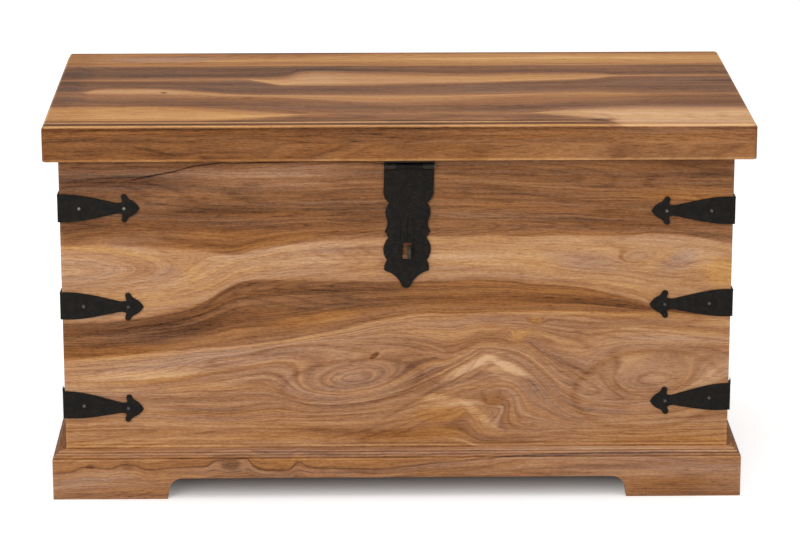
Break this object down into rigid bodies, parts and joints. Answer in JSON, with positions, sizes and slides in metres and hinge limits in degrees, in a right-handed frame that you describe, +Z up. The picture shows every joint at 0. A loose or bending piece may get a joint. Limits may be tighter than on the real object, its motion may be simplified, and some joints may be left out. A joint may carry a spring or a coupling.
{
  "type": "storage chest",
  "caption": "Low wooden storage chest on a moulded plinth, with a flat hinged lid, black iron corner straps and a front hasp that drops over a staple.",
  "frame": {"origin": "on the floor, under the middle of the chest", "axes": "+Z up, +X to the right as seen from the front, +Y from the front to the back"},
  "size_m": [0.9, 0.45, 0.496],
  "materials": {
    "panel_wood": "oiled, figured hardwood",
    "lid_wood": "oiled, figured hardwood",
    "rail_wood": "oiled hardwood",
    "plinth_wood": "oiled hardwood",
    "inner_wood": "sawn and unfinished",
    "iron": "blackened wrought iron, satin",
    "nail_iron": "blackened forged iron, worn bright on the heads"
  },
  "bodies": {
    "chest": {"front_panel": "panel_wood", "back_panel": "panel_wood", "left_panel": "panel_wood", "right_panel": "panel_wood", "plinth_front": "plinth_wood", "plinth_back": "plinth_wood", "plinth_left": "plinth_wood", "plinth_right": "plinth_wood", "floor_cleat_front": "inner_wood", "floor_cleat_back": "inner_wood", "floor_cleat_left": "inner_wood", "floor_cleat_right": "inner_wood", "floor_board_1": "inner_wood", "floor_board_2": "inner_wood", "floor_board_3": "inner_wood", "foot_block_front_left": "inner_wood", "foot_block_front_right": "inner_wood", "foot_block_back_right": "inner_wood", "foot_block_back_left": "inner_wood", "corner_strap_front_left_top": "iron", "corner_strap_front_left_middle": "iron", "corner_strap_front_left_bottom": "iron", "corner_strap_front_right_top": "iron", "corner_strap_front_right_middle": "iron", "corner_strap_front_right_bottom": "iron", "corner_strap_back_right_top": "iron", "corner_strap_back_right_middle": "iron", "corner_strap_back_right_bottom": "iron", "corner_strap_back_left_top": "iron", "corner_strap_back_left_middle": "iron", "corner_strap_back_left_bottom": "iron", "strap_nails_front_left": "nail_iron", "strap_nails_front_right": "nail_iron", "strap_nails_back_right": "nail_iron", "strap_nails_back_left": "nail_iron", "hasp_staple": "nail_iron", "hinge_body_leaf_left": "iron", "hinge_body_leaf_right": "iron", "hinge_nails_body": "nail_iron", "hinge_pin_left": "nail_iron", "hinge_pin_right": "nail_iron"},
    "lid": {"lid_board_1": "lid_wood", "lid_board_2": "lid_wood", "lid_board_3": "lid_wood", "lid_board_4": "lid_wood", "lid_rail_front": "rail_wood", "lid_rail_back": "rail_wood", "lid_rail_left": "rail_wood", "lid_rail_right": "rail_wood", "hinge_lid_leaf_left": "iron", "hinge_lid_leaf_right": "iron", "hinge_nails_lid": "nail_iron", "hasp_bracket": "iron", "hasp_bracket_nails": "nail_iron", "hasp_pin": "nail_iron"},
    "hasp": {"hasp_plate": "iron"}
  },
  "joints": [
    {"name": "lid_hinge", "type": "hinge", "parent": "chest", "child": "lid", "pos_m": [0, 0.2074, 0.4456], "axis": [-1, 0, 0], "range_deg": [0, 105]},
    {"name": "hasp_hinge", "type": "hinge", "parent": "lid", "child": "hasp", "pos_m": [0.0118, -0.2076, 0.4395], "axis": [-1, 0, 0], "range_deg": [0, 115]}
  ]
}
